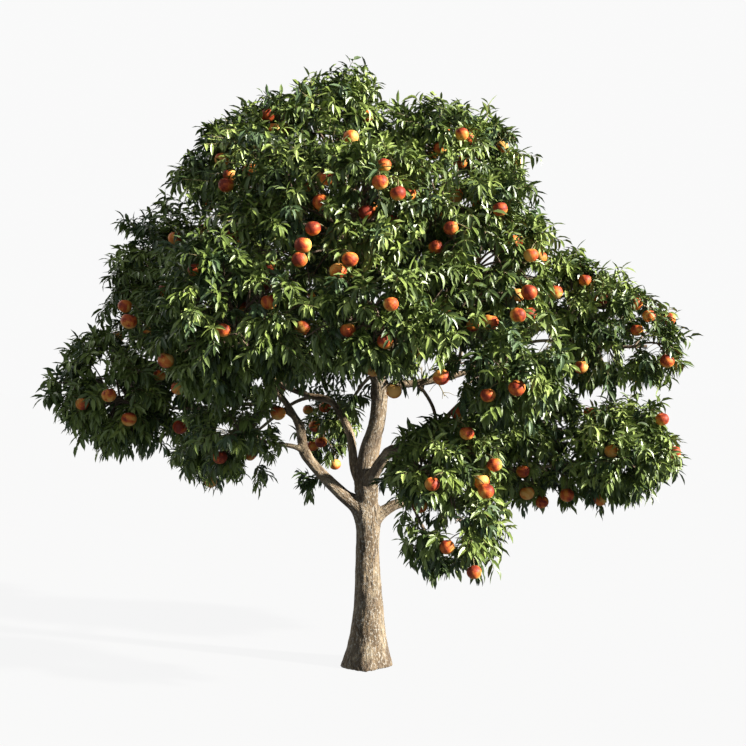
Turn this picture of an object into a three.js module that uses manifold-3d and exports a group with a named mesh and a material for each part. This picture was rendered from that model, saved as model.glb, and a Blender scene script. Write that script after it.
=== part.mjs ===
// A dwarf peach tree in leaf and fruit, three metres tall, rooted in level ground.
//
// The trunk flares at its foot and forks at about a quarter of the height. Its boughs carry 24 masses
// of foliage. Each limb and each mass is one closed solid with a node of its own. Lengths are
// millimetres, +Z is up, +X is the tree's right and -Y its front. The origin is in the middle of the
// flat cut under the trunk, at ground level.
//
// Each mass has a heart and an ellipsoid round it. The crown is a smooth blend of all the ellipsoids
// with an uneven surface. A mass keeps to its own space: the part of the crown that is nearer to its
// heart, in its ellipsoid's own measure, than to any other. From the tip of its bough a stem runs to
// its heart.
// Twigs leave the stem on evenly spread ways, each starting a little below the point of the stem that
// is nearest to its end, and leaves stand along them. Each leaf here stands for a spray of real ones.

import * as THREE from "three";
import { mergeVertices } from "three/addons/utils/BufferGeometryUtils.js";
import Module from "manifold-3d";

const wasm = await Module();
wasm.setup();

// -------------------------------------------------------------------------------------------------
// Driving dimensions

const GAP = 0.3; // clearance between two solids that meet
const SLIVER = 0.05; // faces thinner than this are merged away
const TRUNK_HEIGHT = 880; // from the ground to the fork
const TRUNK_TOP_RADIUS = 47;
const TRUNK_TAPER = 22; // added radius at the ground, falling evenly to nothing at the fork
const FLARE_RADIUS = 60; // further radius at the ground, dying away upwards
const FLARE_FALL = 160; // height over which the flare falls to 1/e
const ROOT_LOBES = 5; // swellings round the foot where the main roots leave
const ROOT_LOBE_DEPTH = 0.11;
const ROOT_LOBE_FALL = 90;
const ROOT_LOBE_MIX = { all: 0.6, unequal: 0.4 }; // how much the lobes are alike, and how much they differ

const TAPER_BEND = 0.8; // below 1, a limb thins faster near its foot
const SIDE_BOUGH_TIP_RADIUS = 8;
const SIDE_BOUGH_SHARE = 0.72; // a side bough's radius at its foot, as a share of its parent's there
const SIDE_BOUGH_AIM = { onwards: 0.5, up: 0.35, straight: 0.6 }; // what its first direction is mixed from
const SIDE_BOUGH_ENTRY = 0.74; // how far from a mass's heart it ends, in the ellipsoid's measure
const SIDE_BOUGH_HANDLES = { foot: 0.35, tip: 0.3 }; // of its curve, as shares of its length

const TWIG_COUNT = { dense: 12, airy: 8 }; // twigs whose ends fall in a neighbour's space are skipped
const TWIG_REACH = 0.36; // where a twig ends, in the crown's measure
const TWIG_SPREAD = 0.35; // random turn of a twig's way, in radians
const TWIG_ARCH = 0.2; // rise of a twig's middle, as a share of its length
const TWIG_SET_BACK = [0.14, 0.56]; // how far below the stem's nearest point it starts, over its length
const TWIG_FIRST = 0.15; // share of the stem's length below which it bears no twig
const TWIG_RADIUS = 8;
const TWIG_TIP_RADIUS = 6;

const CROWN_BLEND = 2.8; // the higher, the deeper the valleys between two masses
const CROWN_WAVES = 9; // what the crown's unevenness is summed from
const CROWN_WAVE_LENGTHS = [200, 550];
const CROWN_UNEVEN = 0.07;
const CROWN_REACH = 0.92; // how far the crown reaches, in its own measure
const LEAST_STRETCH = 0.1; // how near and how far a space can end, in its ellipsoid's measure
const MOST_STRETCH = 1.5;
const REACH_STEPS = 8; // rounds in which a place at a reach is looked for
const SPACE_MARGIN = 0.03; // how much nearer its own heart than another a point has to be
const CORE_SIZE = 0.62; // the core of a dense mass, in the same measure
const CORE_MARGIN = 0.06; // how far inside its space a core keeps

const LEAF_LENGTH = 250; // the longest blade: it stands for a spray of real leaves of 50 to 80
const LEAF_LEAST = 110; // the shortest blade
const LEAF_WIDTH = 105;
const LEAF_SPACING = 78; // least distance between two blades of a mass, from middle or tip to middle or tip
const LEAF_THICKNESS = 5;
const LEAF_FOLD = 9; // how far the blade's edges hang below its rib
const LEAF_INSET = 4; // how deep a leaf's root is sunk
const LEAF_WIDEST = 0.42; // where a blade is widest, as a share of its length
const LEAF_CLEARANCE = 14; // least distance from a leaf or twig to a limb
const LIMB_SAMPLES = 25; // places along a limb that distances are measured from
const STEM_SAMPLES = 20; // steps along a stem in which a twig's start is looked for
const LEAF_STEP = 5; // a blade that isn't clear is shortened by this
const PEACH_RADIUS = 35;
const PEACH_HANG = { out: 0.7, down: 0.6 }; // from the twig's end to its centre, as shares of its radius

// How finely limbs are faceted: the sides round them and the steps along them.
const TRUNK_FACETS = [16, 11];
const MAIN_BOUGH_FACETS = [8, 7];
const SIDE_BOUGH_FACETS = [6, 3];
const STEM_FACETS = [6, 2];
const TWIG_FACETS = [3, 2];

// The leaves of a twig: how far along it each stands, and how far it turns aside and down from
// straight outwards.
const LEAF_PLACES = [
  { share: 0.97, side: 0, drop: 0 },
  { share: 0.9, side: 0.8, drop: 0.3 },
  { share: 0.8, side: -0.8, drop: 0.6 },
];

const SEED = 20260;

// -------------------------------------------------------------------------------------------------
// The tree's plan

// The main boughs, in the order they are grown. Each starts inside its bearer, passes through these
// points and tapers from its first radius to its second.
const MAIN_BOUGHS = {
  leader: {
    through: [
      [-8, 0, 840], [-6, 0, 980], [12, 4, 1064], [44, 8, 1160],
      [59, 10, 1270], [58, 10, 1380], [42, 12, 1560],
    ],
    radii: [46, 36],
  },
  left_bough: {
    through: [
      [0, 0, 690], [-45, -6, 764], [-119, -15, 828], [-235, -30, 946],
      [-300, -40, 1035], [-324, -48, 1180],
    ],
    radii: [43, 18],
  },
  middle_left_bough: {
    through: [
      [-6, 10, 850], [-55, 30, 930], [-76, 90, 1060], [-90, 120, 1130],
      [-180, 185, 1272], [-298, 240, 1305],
    ],
    radii: [27, 14],
  },
  front_right_bough: {
    through: [
      [4, 0, 850], [26, -52, 918], [93, -150, 1034], [135, -250, 1064],
      [180, -330, 1040], [210, -400, 1010],
    ],
    radii: [35, 15],
  },
  right_low_bough: {
    through: [
      [6, 0, 640], [40, 0, 706], [120, 0, 770], [180, 0, 792],
      [320, 30, 840], [480, 90, 905],
    ],
    radii: [34, 15],
  },
  right_upper_bough: {
    through: [
      [58, 10, 1325], [103, 10, 1350], [280, 0, 1376], [400, -5, 1400],
      [640, 0, 1490], [850, 0, 1640],
    ],
    radii: [21, 10],
  },
  back_bough: {
    through: [
      [0, 0, 880], [20, 60, 960], [52, 190, 1110], [70, 360, 1290],
      [50, 560, 1450], [0, 720, 1580],
    ],
    radii: [30, 12],
  },
  front_fork_bough: {
    through: [[158, -290, 1052], [220, -330, 1085], [290, -350, 1135], [330, -350, 1180]],
    radii: [15, 12],
  },
};

// The masses of foliage: the heart and half-sizes of each ellipsoid, the bough that feeds it, and how
// far along it the mass's own side bough leaves. At 1 the bough itself ends in the mass. A dense mass
// can't be seen through: it has a core.
const MASSES = {
  top_centre: {
    heart: [-165, 50, 2480], half: [310, 460, 530],
    from: "leader", share: 0.99, dense: true, peaches: 2,
  },
  top_left: {
    heart: [-510, -90, 2380], half: [430, 480, 380],
    from: "leader", share: 0.93, dense: true, peaches: 1,
  },
  top_right: {
    heart: [395, 0, 2375], half: [500, 490, 455],
    from: "leader", share: 0.9, dense: true, peaches: 2,
  },
  top_back: {
    heart: [-50, 600, 2290], half: [570, 460, 430],
    from: "leader", share: 0.86, dense: true, peaches: 1,
  },
  upper_front: {
    heart: [-130, -600, 2090], half: [550, 410, 430],
    from: "leader", share: 0.95, dense: true, peaches: 2,
  },
  right_upper: {
    heart: [1100, 120, 1690], half: [400, 420, 370],
    from: "right_upper_bough", share: 1, dense: true, peaches: 1,
  },
  upper_right: {
    heart: [500, -450, 1930], half: [410, 410, 430],
    from: "right_upper_bough", share: 0.42, dense: true, peaches: 2,
  },
  right_tip: {
    heart: [1360, -20, 1550], half: [230, 320, 230],
    from: "right_upper_bough", share: 0.8, dense: false, peaches: 1,
  },
  left_far: {
    heart: [-1220, -90, 1290], half: [400, 460, 370],
    from: "left_bough", share: 0.99, dense: true, peaches: 2,
  },
  left_upper: {
    heart: [-890, 0, 1845], half: [470, 480, 455],
    from: "left_bough", share: 0.94, dense: true, peaches: 1,
  },
  left_front: {
    heart: [-570, -630, 1630], half: [490, 410, 430],
    from: "left_bough", share: 0.86, dense: true, peaches: 2,
  },
  left_low: {
    heart: [-610, -290, 1150], half: [235, 360, 300],
    from: "left_bough", share: 0.74, dense: false, peaches: 1,
  },
  left_back: {
    heart: [-700, 680, 1680], half: [550, 480, 520],
    from: "middle_left_bough", share: 1, dense: true, peaches: 1,
  },
  left_low_back: {
    heart: [-810, 670, 1000], half: [320, 340, 260],
    from: "middle_left_bough", share: 0.85, dense: true, peaches: 1,
  },
  right_low: {
    heart: [340, -540, 1000], half: [340, 340, 280],
    from: "front_right_bough", share: 1, dense: true, peaches: 1,
  },
  right_hanging: {
    heart: [470, -670, 720], half: [170, 250, 220],
    from: "front_right_bough", share: 0.6, dense: false, peaches: 1,
  },
  front_centre: {
    heart: [50, -760, 1640], half: [390, 360, 270],
    from: "front_fork_bough", share: 0.9, dense: true, peaches: 2,
  },
  right_front: {
    heart: [610, -690, 1440], half: [300, 330, 290],
    from: "front_fork_bough", share: 1, dense: true, peaches: 1,
  },
  right_middle: {
    heart: [790, 290, 1030], half: [440, 400, 400],
    from: "right_low_bough", share: 1, dense: true, peaches: 2,
  },
  right_far: {
    heart: [1280, 160, 1020], half: [400, 460, 300],
    from: "right_low_bough", share: 0.7, dense: true, peaches: 1,
  },
  back_right: {
    heart: [620, 700, 1880], half: [450, 480, 430],
    from: "leader", share: 0.8, dense: true, peaches: 1,
  },
  back_centre: {
    heart: [-50, 950, 1770], half: [500, 420, 470],
    from: "back_bough", share: 1, dense: true, peaches: 1,
  },
  back_low: {
    heart: [-240, 1050, 1090], half: [210, 250, 280],
    from: "back_bough", share: 0.7, dense: false, peaches: 1,
  },
  right_hanging_side: {
    heart: [265, -640, 710], half: [120, 200, 190],
    from: "front_right_bough", share: 0.5, dense: false, peaches: 1,
  },
};

// -------------------------------------------------------------------------------------------------
// Small tools

const UP = new THREE.Vector3(0, 0, 1);
const point = ([x, y, z]) => new THREE.Vector3(x, y, z);

// A stream of even random numbers from 0 to 1, the same for the same seed.
function randomStream(seed) {
  let state = seed >>> 0;
  return () => {
    state = (state + 0x6d2b79f5) >>> 0;
    let t = state;
    t = Math.imul(t ^ (t >>> 15), t | 1);
    t ^= t + Math.imul(t ^ (t >>> 7), t | 61);
    return ((t ^ (t >>> 14)) >>> 0) / 4294967296;
  };
}

// The solid of a closed geometry, whose shared vertices are merged first.
function solidOf(geometry) {
  const bare = new THREE.BufferGeometry().setAttribute("position", geometry.getAttribute("position"));
  bare.setIndex(geometry.index);
  const merged = mergeVertices(bare, 1e-3);
  const vertProperties = new Float32Array(merged.attributes.position.array);
  const triVerts = new Uint32Array(merged.index.array);
  return new wasm.Manifold(new wasm.Mesh({ numProp: 3, vertProperties, triVerts }));
}

// The geometry of a solid, with its vertices moved to fit an origin.
function geometryOf(solid, origin) {
  const mesh = solid.getMesh();
  const places = new Float32Array(mesh.numVert * 3);
  for (let i = 0; i < mesh.numVert; i++) {
    for (let axis = 0; axis < 3; axis++) {
      places[3 * i + axis] = mesh.vertProperties[mesh.numProp * i + axis] - origin.getComponent(axis);
    }
  }
  const geometry = new THREE.BufferGeometry();
  geometry.setAttribute("position", new THREE.BufferAttribute(places, 3));
  geometry.setIndex(new THREE.BufferAttribute(new Uint32Array(mesh.triVerts), 1));
  const flat = geometry.toNonIndexed();
  flat.computeVertexNormals();
  return flat;
}

// The largest body of a solid, without slivers. What a cut leaves loose, and the skin of a sealed
// hollow, are dropped.
function largestBody(solid) {
  const largest = solid.decompose().reduce((best, body) => (body.volume() > best.volume() ? body : best));
  return largest.asOriginal().simplify(SLIVER);
}

// -------------------------------------------------------------------------------------------------
// Limbs

// A closed tube along a curve. radiusAt gives the radius at a share of the curve and an angle round
// it. grow widens the tube, and lengthens it at both ends.
function tubeSolid(curve, radiusAt, sides, steps, grow = 0) {
  const frames = curve.computeFrenetFrames(steps, false);
  const places = [];
  const index = [];
  for (let i = 0; i <= steps; i++) {
    const share = i / steps;
    const centre = curve.getPointAt(share);
    const stretch = i === 0 ? -grow : i === steps ? grow : 0;
    centre.addScaledVector(frames.tangents[i], stretch);
    for (let k = 0; k < sides; k++) {
      const angle = (2 * Math.PI * k) / sides;
      const radius = radiusAt(share, angle) + grow;
      const rim = centre
        .clone()
        .addScaledVector(frames.normals[i], radius * Math.cos(angle))
        .addScaledVector(frames.binormals[i], radius * Math.sin(angle));
      places.push(...rim.toArray());
    }
  }
  for (let i = 0; i < steps; i++) {
    for (let k = 0; k < sides; k++) {
      const [a, b] = [i * sides + k, i * sides + ((k + 1) % sides)];
      index.push(a, b, b + sides, a, b + sides, a + sides);
    }
  }
  const last = steps * sides;
  for (let k = 1; k < sides - 1; k++) {
    index.push(0, k + 1, k, last, last + k, last + k + 1);
  }
  const geometry = new THREE.BufferGeometry();
  geometry.setAttribute("position", new THREE.BufferAttribute(new Float32Array(places), 3));
  geometry.setIndex(index);
  return solidOf(geometry);
}

// A limb: its curve, its radius at a share of it, and how finely its solid is faceted.
class Limb {
  constructor(name, curve, radiusAt, sides, steps) {
    Object.assign(this, { name, curve, radiusAt, sides, steps });
    this.samples = Array.from({ length: LIMB_SAMPLES }, (_, i) => i / (LIMB_SAMPLES - 1)).map((share) => ({
      place: curve.getPointAt(share),
      radius: radiusAt(share, 0),
    }));
  }

  solid(grow = 0) {
    return tubeSolid(this.curve, this.radiusAt, this.sides, this.steps, grow);
  }

  // Clear distance from a place to the limb's surface.
  clearance(place) {
    return Math.min(...this.samples.map((s) => s.place.distanceTo(place) - s.radius));
  }
}

const taper = (first, last) => (share) => first + (last - first) * Math.pow(share, TAPER_BEND);

function makeTrunk() {
  const curve = new THREE.CatmullRomCurve3(
    [[0, 0, 0], [0, 0, 40], [7, 0, 250], [2, 0, 500], [3, 2, 700], [0, 0, TRUNK_HEIGHT]].map(point),
  );
  const radiusAt = (share, angle) => {
    const height = share * TRUNK_HEIGHT;
    const flare = FLARE_RADIUS * Math.exp(-height / FLARE_FALL);
    const plain = TRUNK_TOP_RADIUS + TRUNK_TAPER * (1 - share) + flare;
    const [alike, unequal] = [Math.cos(ROOT_LOBES * angle), Math.cos(2 * angle + 1)];
    const lobes = alike * ROOT_LOBE_MIX.all + unequal * ROOT_LOBE_MIX.unequal;
    return plain * (1 + ROOT_LOBE_DEPTH * lobes * Math.exp(-height / ROOT_LOBE_FALL));
  };
  return new Limb("trunk", curve, radiusAt, ...TRUNK_FACETS);
}

function makeMainBough(name, { through, radii }) {
  const curve = new THREE.CatmullRomCurve3(through.map(point), false, "centripetal");
  return new Limb(name, curve, taper(...radii), ...MAIN_BOUGH_FACETS);
}

// A side bough leaves its bearer, rises and ends at the edge of a mass, pointing at its heart.
function makeSideBough(name, bearer, share, mass) {
  const start = bearer.curve.getPointAt(share);
  const tip = mass.space.towards(start, SIDE_BOUGH_ENTRY);
  const length = start.distanceTo(tip);
  const leaving = bearer.curve
    .getTangentAt(share)
    .multiplyScalar(SIDE_BOUGH_AIM.onwards)
    .addScaledVector(UP, SIDE_BOUGH_AIM.up)
    .addScaledVector(tip.clone().sub(start).normalize(), SIDE_BOUGH_AIM.straight)
    .normalize();
  const arriving = mass.space.heart.clone().sub(tip).normalize();
  const curve = new THREE.CubicBezierCurve3(
    start,
    start.clone().addScaledVector(leaving, length * SIDE_BOUGH_HANDLES.foot),
    tip.clone().addScaledVector(arriving, -length * SIDE_BOUGH_HANDLES.tip),
    tip,
  );
  const foot = Math.max(SIDE_BOUGH_TIP_RADIUS, bearer.radiusAt(share, 0) * SIDE_BOUGH_SHARE);
  return new Limb(name, curve, taper(foot, SIDE_BOUGH_TIP_RADIUS), ...SIDE_BOUGH_FACETS);
}

// The stem of a mass, from just off its bough's tip to its heart.
function makeStem({ name, bough, space }) {
  const ahead = bough.curve.getTangentAt(1);
  const foot = bough.curve.getPointAt(1).addScaledVector(ahead, GAP);
  const bend = foot.clone().addScaledVector(ahead, foot.distanceTo(space.heart) / 2);
  const curve = new THREE.QuadraticBezierCurve3(foot, bend, space.heart);
  return new Limb(name + "_stem", curve, taper(bough.radiusAt(1, 0), TWIG_RADIUS), ...STEM_FACETS);
}

// -------------------------------------------------------------------------------------------------
// The space of a mass

class Space {
  constructor(heart, half) {
    this.heart = point(heart);
    this.half = point(half);
  }

  // Distance from the heart in the ellipsoid's own measure: 1 is its surface.
  measure(place) {
    return place.clone().sub(this.heart).divide(this.half).length();
  }

  // The place at a measure from the heart, in the direction of another place.
  towards(place, measure) {
    const way = place.clone().sub(this.heart).divide(this.half).normalize();
    return this.along(way, measure);
  }

  along(way, measure) {
    return way.clone().multiply(this.half).multiplyScalar(measure).add(this.heart);
  }
}

// Ways that are spread evenly over a sphere, each turned by some angle.
function evenWays(count, turnOf) {
  return Array.from({ length: count }, (_, k) => {
    const height = 1 - (2 * k + 1) / count;
    const angle = k * Math.PI * (3 - Math.sqrt(5)) + turnOf(k);
    const across = Math.sqrt(1 - height * height);
    return new THREE.Vector3(across * Math.cos(angle), across * Math.sin(angle), height);
  });
}

// The crown: all spaces blended into one, with waves in fixed directions that make it uneven.
class Crown {
  constructor(spaces) {
    this.spaces = spaces;
    this.waves = evenWays(CROWN_WAVES, () => 0).map((way, k) => {
      const length = THREE.MathUtils.lerp(...CROWN_WAVE_LENGTHS, k / (CROWN_WAVES - 1));
      return { rise: way.multiplyScalar((2 * Math.PI) / length), phase: k * k };
    });
  }

  // Distance from the crown's inside, in its own measure.
  measure(place) {
    const sumOf = (terms) => terms.reduce((sum, term) => sum + term, 0);
    const near = sumOf(this.spaces.map((space) => Math.exp(-CROWN_BLEND * space.measure(place))));
    const uneven = sumOf(this.waves.map(({ rise, phase }) => Math.sin(rise.dot(place) + phase)));
    return -Math.log(near) / CROWN_BLEND + (CROWN_UNEVEN * uneven) / Math.sqrt(CROWN_WAVES);
  }

  // Whether a place is in the crown and belongs to a space, not to one of its neighbours.
  owns(space, place) {
    const own = space.measure(place);
    const others = this.spaces.filter((other) => other !== space);
    const apart = others.every((other) => other.measure(place) > own + SPACE_MARGIN);
    return apart && this.measure(place) <= CROWN_REACH;
  }

  // The place on a way from a space's heart that lies at a reach in the crown's measure.
  along(space, way, reach) {
    let stretch = reach;
    for (let i = 0; i < REACH_STEPS; i++) {
      const off = reach - this.measure(space.along(way, stretch));
      stretch = THREE.MathUtils.clamp(stretch + off, LEAST_STRETCH, MOST_STRETCH);
    }
    return space.along(way, stretch);
  }
}

// -------------------------------------------------------------------------------------------------
// Twigs, leaves and fruit

// The arching twig from a stem to an end. It starts at the stem's nearest point, moved back some way
// towards its foot.
function twigCurve(stem, end, random) {
  let nearest = { distance: Infinity, share: 0 };
  for (let step = 0; step <= STEM_SAMPLES; step++) {
    const share = step / STEM_SAMPLES;
    const distance = stem.getPointAt(share).distanceTo(end);
    if (distance < nearest.distance) nearest = { distance, share };
  }
  const back = THREE.MathUtils.lerp(...TWIG_SET_BACK, random()) * nearest.distance;
  const start = stem.getPointAt(Math.max(TWIG_FIRST, nearest.share - back / stem.getLength()));
  const middle = start.clone().lerp(end, 0.5).addScaledVector(UP, TWIG_ARCH * start.distanceTo(end));
  return new THREE.QuadraticBezierCurve3(start, middle, end);
}

// The length of the longest blade that leaves a place along a way with its tip still clear, or 0.
function leafLength(place, way, clear) {
  let length = LEAF_LENGTH;
  while (length >= LEAF_LEAST && !clear(place.clone().addScaledVector(way, length))) {
    length -= LEAF_STEP;
  }
  return length >= LEAF_LEAST ? length : 0;
}

// The corners of an arched blade that leaves a place along a way and turns its face to another way:
// root, tip, the two edges and the rib.
function leafCorners(place, way, facing, length) {
  const across = way.clone().cross(facing).normalize();
  const normal = across.clone().cross(way).normalize();
  const at = (along, side, lift) =>
    place.clone().addScaledVector(way, along).addScaledVector(across, side).addScaledVector(normal, lift);
  const [middle, half] = [length * LEAF_WIDEST, LEAF_WIDTH / 2];
  return [
    at(-LEAF_INSET, 0, 0),
    at(length, 0, 0),
    at(middle, half, -LEAF_FOLD),
    at(middle, -half, -LEAF_FOLD),
    at(middle, 0, LEAF_THICKNESS),
  ];
}

function leafSolid(corners) {
  const geometry = new THREE.BufferGeometry();
  const places = new Float32Array(corners.flatMap((corner) => corner.toArray()));
  geometry.setAttribute("position", new THREE.BufferAttribute(places, 3));
  geometry.setIndex([0, 2, 4, 2, 1, 4, 1, 3, 4, 3, 0, 4, 0, 3, 2, 1, 2, 3]);
  return solidOf(geometry);
}

function peachSolid(centre) {
  const geometry = new THREE.OctahedronGeometry(PEACH_RADIUS, 1);
  return solidOf(geometry.translate(centre.x, centre.y, centre.z));
}

// The core of a dense mass: a ball in the space's measure, drawn in where a neighbour is near.
function coreSolid(space, crown) {
  const ball = new THREE.IcosahedronGeometry(1, 1).deleteAttribute("normal").deleteAttribute("uv");
  const geometry = mergeVertices(ball);
  const corners = geometry.getAttribute("position");
  for (let i = 0; i < corners.count; i++) {
    const way = new THREE.Vector3().fromBufferAttribute(corners, i).normalize();
    let reach = CORE_SIZE;
    while (reach > LEAST_STRETCH && !crown.owns(space, space.along(way, reach + CORE_MARGIN))) {
      reach -= CORE_MARGIN / 2;
    }
    const corner = space.along(way, reach);
    corners.setXYZ(i, corner.x, corner.y, corner.z);
  }
  return solidOf(geometry);
}

// The leaves of a twig, as far as their corners are clear. Each also keeps its distance from the spots
// in taken.
function growLeaves(space, twig, hand, random, clear, taken) {
  const grown = [];
  for (const { share, side, drop } of LEAF_PLACES) {
    const place = twig.getPointAt(share);
    const outward = place.clone().sub(space.heart).normalize();
    const beside = outward.clone().cross(UP).normalize();
    const way = outward.clone().addScaledVector(beside, side * hand).addScaledVector(UP, -drop).normalize();
    const length = leafLength(place, way, clear);
    const corners = leafCorners(place, way, side ? outward : beside.lerp(UP, random()), length);
    const [, tip, left, right, rib] = corners;
    const spots = [rib, tip];
    const apart = spots.every((spot) => taken.every((other) => other.distanceTo(spot) > LEAF_SPACING));
    if (!length || !apart || ![tip, left, right, rib].every(clear)) continue;
    taken.push(...spots);
    grown.push(leafSolid(corners));
  }
  return grown;
}

// Where a peach hangs under the end of a twig, or nothing where it isn't clear.
function peachPlace(space, end, clear) {
  const outward = end.clone().sub(space.heart).normalize();
  const centre = end
    .clone()
    .addScaledVector(outward, PEACH_RADIUS * PEACH_HANG.out)
    .addScaledVector(UP, -PEACH_RADIUS * PEACH_HANG.down);
  const rim = [[1, 0, 0], [-1, 0, 0], [0, 1, 0], [0, -1, 0], [0, 0, -1]].map((way) =>
    centre.clone().addScaledVector(point(way), PEACH_RADIUS),
  );
  return rim.every(clear) ? centre : null;
}

// Grows a mass round its stem, clear of the limbs and of the other masses, and returns its solid.
function growMass({ space, seed, dense, peaches, stem }, limbs, crown) {
  const random = randomStream(seed);
  const rooms = limbs.map((limb) => limb.solid(LEAF_CLEARANCE));
  const offLimbs = (place) => limbs.every((limb) => limb.clearance(place) > LEAF_CLEARANCE);
  const clear = (place) => crown.owns(space, place) && offLimbs(place);
  const fits = (solid) => rooms.every((room) => room.intersect(solid).isEmpty());
  const pieces = [stem.solid()];
  if (dense) {
    pieces.push(rooms.reduce((rest, room) => rest.subtract(room), coreSolid(space, crown)));
  }
  const taken = [];
  let peachesLeft = peaches;
  const ahead = stem.curve.getTangentAt(1).divide(space.half).normalize();
  const turnOf = () => seed + (2 * random() - 1) * TWIG_SPREAD;
  const ways = [ahead, ...evenWays(dense ? TWIG_COUNT.dense : TWIG_COUNT.airy, turnOf)];
  for (const [k, way] of ways.entries()) {
    const end = crown.along(space, way, TWIG_REACH);
    const twig = twigCurve(stem.curve, end, random);
    const twigSolid = tubeSolid(twig, taper(TWIG_RADIUS, TWIG_TIP_RADIUS), ...TWIG_FACETS);
    if (![0.5, 0.75, 1].every((share) => clear(twig.getPointAt(share))) || !fits(twigSolid)) continue;
    pieces.push(twigSolid, ...growLeaves(space, twig, k % 2 ? 1 : -1, random, clear, taken).filter(fits));
    const peach = peachesLeft > 0 && peachPlace(space, end, clear);
    if (peach) {
      pieces.push(peachSolid(peach));
      peachesLeft -= 1;
    }
  }
  return largestBody(wasm.Manifold.union(pieces));
}

// -------------------------------------------------------------------------------------------------
// The assembly

const BARK = new THREE.MeshStandardMaterial({ color: 0x8a7358, roughness: 0.9, metalness: 0 });
const FOLIAGE = new THREE.MeshStandardMaterial({ color: 0x4f7a2b, roughness: 0.55, metalness: 0 });

function meshOf(name, solid, material, origin) {
  const mesh = new THREE.Mesh(geometryOf(solid, origin), material);
  mesh.name = name;
  mesh.position.copy(origin);
  return mesh;
}

function growTree() {
  const tree = new THREE.Group();
  const masses = Object.entries(MASSES).map(([name, plan], i) => ({
    ...plan,
    name,
    seed: SEED + i,
    space: new Space(plan.heart, plan.half),
  }));
  const limbs = [makeTrunk()];
  for (const [name, plan] of Object.entries(MAIN_BOUGHS)) {
    limbs.push(makeMainBough(name, plan));
  }
  for (const mass of masses) {
    const bearer = limbs.find((limb) => limb.name === mass.from);
    mass.bough = mass.share === 1 ? bearer : makeSideBough(mass.name + "_bough", bearer, mass.share, mass);
    if (mass.bough !== bearer) limbs.push(mass.bough);
    mass.stem = makeStem(mass);
  }
  limbs.forEach((limb, i) => {
    const earlier = limbs.slice(0, i).map((other) => other.solid(GAP));
    const cut = earlier.reduce((rest, other) => rest.subtract(other), limb.solid());
    tree.add(meshOf(limb.name, largestBody(cut), BARK, limb.curve.getPointAt(0)));
  });
  const crown = new Crown(masses.map((mass) => mass.space));
  for (const mass of masses) {
    const stems = masses.filter((other) => other !== mass).map((other) => other.stem);
    const solid = growMass(mass, [...limbs, ...stems], crown);
    tree.add(meshOf(mass.name + "_foliage", solid, FOLIAGE, mass.space.heart));
  }
  return tree;
}

export default growTree();
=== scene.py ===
"""The looks of a dwarf peach tree in leaf and fruit, round the frame of its packed limbs and masses.

Lengths are metres, +Z is up, +X is the tree's right and -Y its front. The limbs and the masses of
foliage follow the rule of the part's source, written again here. Each mass grows three orders of
twigs in place of one, and leaves of real size stand along the last of them. Peaches hang from twigs
of their own. One mesh with the bark's relief stands for the trunk and all the boughs.
"""

import math
from collections import namedtuple

import bpy
import numpy as np
from mathutils import Matrix, Vector, noise


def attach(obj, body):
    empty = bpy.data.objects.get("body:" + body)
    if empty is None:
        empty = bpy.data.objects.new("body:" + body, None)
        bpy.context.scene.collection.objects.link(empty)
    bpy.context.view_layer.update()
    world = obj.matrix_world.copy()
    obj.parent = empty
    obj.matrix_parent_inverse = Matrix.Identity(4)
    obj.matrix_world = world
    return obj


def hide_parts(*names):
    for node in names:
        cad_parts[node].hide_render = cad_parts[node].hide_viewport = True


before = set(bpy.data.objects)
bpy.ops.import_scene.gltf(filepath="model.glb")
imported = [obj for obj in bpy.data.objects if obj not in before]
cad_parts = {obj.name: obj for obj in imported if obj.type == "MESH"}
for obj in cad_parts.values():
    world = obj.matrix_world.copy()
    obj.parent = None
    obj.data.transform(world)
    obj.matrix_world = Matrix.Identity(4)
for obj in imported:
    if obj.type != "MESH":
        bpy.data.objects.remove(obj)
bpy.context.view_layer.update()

# ---- The source's driving dimensions

GAP = 0.0003  # clearance between two solids that meet
TRUNK_HEIGHT = 0.88  # from the ground to the fork
TRUNK_THROUGH = [
    (0, 0, 0), (0, 0, 0.04), (0.007, 0, 0.25), (0.002, 0, 0.5), (0.003, 0.002, 0.7),
    (0, 0, TRUNK_HEIGHT),
]
TRUNK_TOP_RADIUS = 0.047
TRUNK_TAPER = 0.022
FLARE_RADIUS = 0.06
FLARE_FALL = 0.16
ROOT_LOBES = 5
UNEQUAL_LOBES = 2  # a slower wave that makes some of them larger
UNEQUAL_TURN = 1
ROOT_LOBE_DEPTH = 0.11
ROOT_LOBE_FALL = 0.09
ROOT_LOBE_MIX = (0.6, 0.4)  # how much the lobes are alike, and how much they differ

TAPER_BEND = 0.8
SIDE_BOUGH_TIP_RADIUS = 0.008
SIDE_BOUGH_SHARE = 0.72
SIDE_BOUGH_ONWARDS = 0.5
SIDE_BOUGH_UP = 0.35
SIDE_BOUGH_STRAIGHT = 0.6
SIDE_BOUGH_ENTRY = 0.74
SIDE_BOUGH_HANDLES = (0.35, 0.3)  # those of its curve at foot and tip, over their distance

TWIG_SPREAD = 0.35
TWIG_ARCH = 0.2
TWIG_SET_BACK = (0.14, 0.56)
TWIG_FIRST = 0.15
STEM_TIP_RADIUS = 0.008
LEAST_STRETCH = 0.1
MOST_STRETCH = 1.5
REACH_STEPS = 8
CROWN_BLEND = 2.8  # the higher, the deeper the valleys between two masses
CROWN_WAVES = 9  # what the crown's unevenness is summed from
CROWN_WAVE_LENGTHS = (0.2, 0.55)
CROWN_UNEVEN = 0.07
SEED = 20260
LEAF_SEED = SEED + 100
PEACH_SEED = SEED + 200
SPRAY_SEED = SEED + 300

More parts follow.
